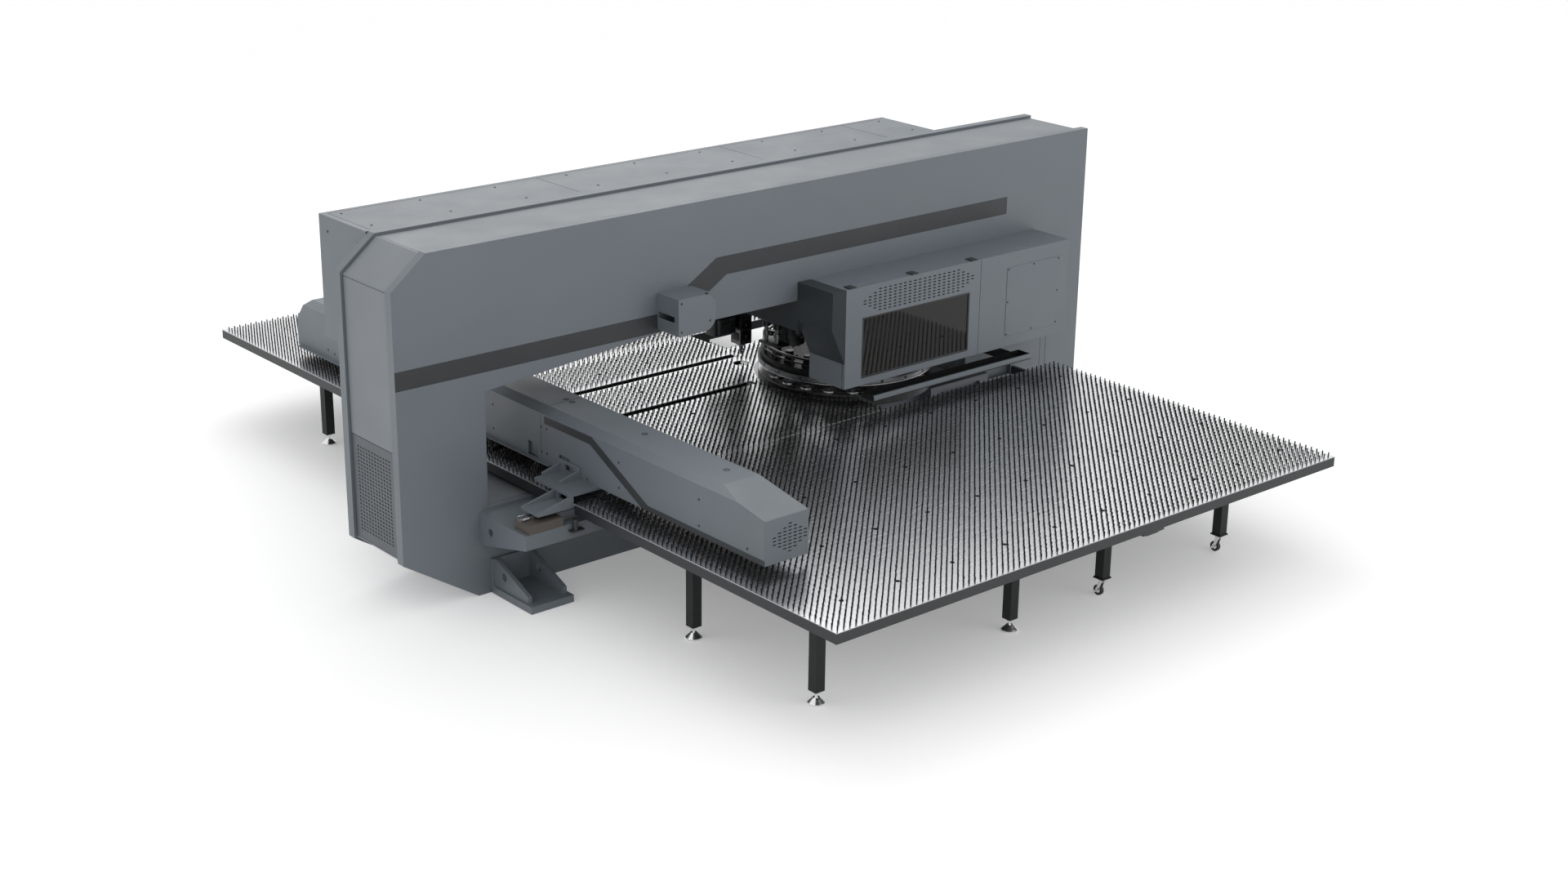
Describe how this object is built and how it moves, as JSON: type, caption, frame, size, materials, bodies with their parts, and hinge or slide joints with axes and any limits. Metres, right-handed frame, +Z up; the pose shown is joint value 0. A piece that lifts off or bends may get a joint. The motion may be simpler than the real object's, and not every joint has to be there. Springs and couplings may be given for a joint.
{
  "type": "punch laser combination machine",
  "caption": "Sheet metal machine with a closed frame, a brush table, a gauging beam with sheet clamps, a punching turret and a laser cutting head.",
  "frame": {"origin": "middle of the footprint, on the floor", "axes": "+X along the frame, away from its chamfered end; +Y from the front of the table to its rear; +Z up"},
  "size_m": [6.18, 7.24, 2.35],
  "materials": {
    "slate_paint": "satin powder coat with a fine texture",
    "slate_textured": "fine textured powder coat",
    "dark_paint": "dark grey powder coat",
    "machined_steel": "ground steel",
    "dark_steel": "oiled blackened steel",
    "bristle": "black nylon bristle",
    "dark_glass": "tinted laser-safe pane",
    "foot_metal": "bright zinc",
    "wheel_plastic": "moulded black wheel",
    "bronze": "brown anodised block",
    "grille_dark": "perforated sheet"
  },
  "bodies": {
    "machine": {"access_panel": "slate_paint", "center_brush": "bristle", "center_table": "dark_paint", "door_hinges": "dark_paint", "frame_panels": "slate_textured", "front_brush": "bristle", "front_plate": "slate_paint", "front_table": "dark_paint", "grille_panel": "grille_dark", "guide_rails": "machined_steel", "head_cap": "dark_paint", "head_cover": "slate_paint", "head_tray": "dark_paint", "laser_plate": "dark_paint", "left_column": "slate_textured", "leveling_feet": "foot_metal", "lower_beam": "slate_textured", "outrigger_feet": "slate_paint", "rail_beams": "slate_paint", "rail_end_block": "bronze", "ram_housing": "dark_paint", "rear_brush": "bristle", "rear_housing": "slate_paint", "rear_plate": "slate_paint", "rear_table": "dark_paint", "right_column": "slate_textured", "screw_bearings": "dark_steel", "service_box": "slate_paint", "service_lid": "slate_paint", "table_legs": "dark_paint", "table_supports": "dark_paint", "turret_apron": "slate_paint", "turret_base": "dark_steel", "turret_spindle": "machined_steel", "upper_beam": "slate_textured"},
    "carriage": {"beam_cover": "slate_paint", "beam_tube": "dark_steel", "beam_end_caps": "slate_paint", "carriage_brackets": "slate_paint", "guide_blocks": "dark_steel", "screw_nut": "dark_steel", "saddle_rails": "machined_steel"},
    "saddle": {"saddle_plate": "dark_steel", "clamp_bodies": "dark_steel"},
    "jaw_1": {"clamp_jaw_1": "machined_steel"},
    "jaw_2": {"clamp_jaw_2": "machined_steel"},
    "jaw_3": {"clamp_jaw_3": "machined_steel"},
    "screw": {"drive_screw": "machined_steel"},
    "turret_upper": {"upper_turret": "dark_steel", "tool_holders": "machined_steel"},
    "turret_lower": {"lower_turret": "dark_steel", "dies": "machined_steel"},
    "ram": {"punch_ram": "machined_steel"},
    "laser": {"laser_head": "machined_steel"},
    "door": {"head_door": "slate_paint", "door_window": "dark_glass"},
    "fork_1": {"caster_fork_1": "foot_metal"},
    "fork_2": {"caster_fork_2": "foot_metal"},
    "wheel_1": {"caster_wheel_1": "wheel_plastic"},
    "wheel_2": {"caster_wheel_2": "wheel_plastic"}
  },
  "joints": [
    {"name": "carriage_slide", "type": "slide", "parent": "machine", "child": "carriage", "axis": [1, 0, 0], "range_m": [0, 1.2]},
    {"name": "saddle_slide", "type": "slide", "parent": "carriage", "child": "saddle", "axis": [0, 1, 0], "range_m": [-1.5, 1.5]},
    {"name": "screw_spin", "type": "hinge", "parent": "machine", "child": "screw", "pos_m": [-1.98, 0.105, 0.65], "axis": [1, 0, 0], "continuous": true},
    {"name": "turret_spin", "type": "hinge", "parent": "machine", "child": "turret_upper", "pos_m": [1.04, -0.16, 0.835], "axis": [0, 0, 1], "continuous": true},
    {"name": "die_turret_spin", "type": "hinge", "parent": "machine", "child": "turret_lower", "pos_m": [1.04, -0.16, 0.678], "axis": [0, 0, 1], "continuous": true},
    {"name": "punch_ram_slide", "type": "slide", "parent": "machine", "child": "ram", "axis": [0, 0, 1], "range_m": [-0.034, 0]},
    {"name": "laser_slide", "type": "slide", "parent": "machine", "child": "laser", "axis": [0, 0, 1], "range_m": [0, 0.12]},
    {"name": "head_door_hinge", "type": "hinge", "parent": "machine", "child": "door", "pos_m": [0.9475, -0.98, 1.641], "axis": [-1, 0, 0], "range_deg": [0, 85]},
    {"name": "clamp_jaw_1_pivot", "type": "hinge", "parent": "saddle", "child": "jaw_1", "pos_m": [-1.4737, -0.565, 0.769], "axis": [0, -1, 0], "range_deg": [0, 12]},
    {"name": "clamp_jaw_2_pivot", "type": "hinge", "parent": "saddle", "child": "jaw_2", "pos_m": [-1.4737, -0.015, 0.769], "axis": [0, -1, 0], "range_deg": [0, 12]},
    {"name": "clamp_jaw_3_pivot", "type": "hinge", "parent": "saddle", "child": "jaw_3", "pos_m": [-1.4737, 0.535, 0.769], "axis": [0, -1, 0], "range_deg": [0, 12]},
    {"name": "caster_1_swivel", "type": "hinge", "parent": "machine", "child": "fork_1", "pos_m": [0.63, -3.152, 0.128], "axis": [0, 0, 1], "continuous": true},
    {"name": "caster_1_roll", "type": "hinge", "parent": "fork_1", "child": "wheel_1", "pos_m": [0.63, -3.128, 0.036], "axis": [1, 0, 0], "continuous": true},
    {"name": "caster_2_swivel", "type": "hinge", "parent": "machine", "child": "fork_2", "pos_m": [1.82, -3.152, 0.128], "axis": [0, 0, 1], "continuous": true},
    {"name": "caster_2_roll", "type": "hinge", "parent": "fork_2", "child": "wheel_2", "pos_m": [1.82, -3.128, 0.036], "axis": [1, 0, 0], "continuous": true}
  ],
  "couplings": [
    {"joint": "screw_spin", "follows": "carriage_slide", "rad_per_m": 125.66},
    {"joint": "die_turret_spin", "follows": "turret_spin", "ratio": 1},
    {"joint": "clamp_jaw_2_pivot", "follows": "clamp_jaw_1_pivot", "ratio": 1},
    {"joint": "clamp_jaw_3_pivot", "follows": "clamp_jaw_1_pivot", "ratio": 1}
  ]
}
